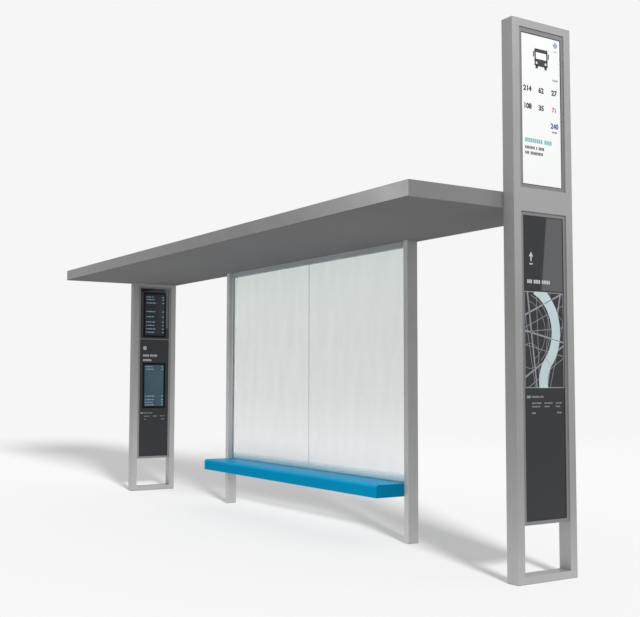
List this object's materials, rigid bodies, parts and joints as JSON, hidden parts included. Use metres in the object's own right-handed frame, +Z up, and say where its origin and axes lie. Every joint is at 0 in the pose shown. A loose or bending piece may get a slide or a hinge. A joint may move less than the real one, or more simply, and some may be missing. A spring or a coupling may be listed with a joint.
{
  "type": "bus shelter",
  "caption": "Open-fronted bus shelter: a thin flat canopy on slim posts and display totems, one tall and one short, with a glazed back and a bench.",
  "frame": {"origin": "on the ground, midway along the shelter and under the middle of the canopy's depth", "axes": "+X along the shelter to the tall totem, +Y to the glazed back, +Z up"},
  "size_m": [6.35, 1.3, 3.6],
  "materials": {
    "frame_paint": "satin silver-grey powder coat",
    "canopy_metal": "satin grey powder coat",
    "soffit_metal": "smooth matt grey coat",
    "casing_metal": "satin grey coat",
    "channel_metal": "pale satin coat on the header, clear anodised at the sides, blue coat on the sill",
    "sign_glass": "white printed glass",
    "dark_glass": "dark printed glass",
    "screen": "glossy display",
    "frosted_glass": "milky satin glass",
    "joint_seal": "translucent silicone",
    "bench_paint": "gloss blue powder coat"
  },
  "bodies": {
    "root": {"tall_totem_front_post": "frame_paint", "tall_totem_back_post": "frame_paint", "tall_totem_head_rail": "frame_paint", "tall_totem_mid_rail": "frame_paint", "tall_totem_bottom_rail": "frame_paint", "tall_totem_base_plate": "frame_paint", "short_totem_front_post": "frame_paint", "short_totem_back_post": "frame_paint", "short_totem_head_rail": "frame_paint", "short_totem_bottom_rail": "frame_paint", "short_totem_base_plate": "frame_paint", "left_post": "frame_paint", "right_post": "frame_paint", "bench_beam": "frame_paint", "bench_brackets": "frame_paint", "roof_front_beam": "frame_paint", "roof_rear_beam": "frame_paint", "roof_ribs": "frame_paint", "roof_front_fascia": "canopy_metal", "roof_back_fascia": "canopy_metal", "roof_left_fascia": "canopy_metal", "roof_right_fascia": "canopy_metal", "roof_deck": "canopy_metal", "roof_soffit": "soffit_metal", "route_sign_casing": "casing_metal", "map_casing": "casing_metal", "timetable_casing": "casing_metal", "timetable_divider": "casing_metal", "glass_header": "channel_metal", "glass_sill_channel": "channel_metal", "glass_left_channel": "channel_metal", "glass_right_channel": "channel_metal", "route_sign_outer_face": "sign_glass", "route_sign_inner_face": "sign_glass", "map_outer_glass": "dark_glass", "map_inner_glass": "dark_glass", "timetable_upper_glass": "dark_glass", "timetable_lower_glass": "dark_glass", "timetable_rear_glass": "dark_glass", "upper_screen": "screen", "lower_screen": "screen", "left_pane": "frosted_glass", "right_pane": "frosted_glass", "pane_joint_seal": "joint_seal", "bench_seat": "bench_paint"}
  },
  "joints": []
}
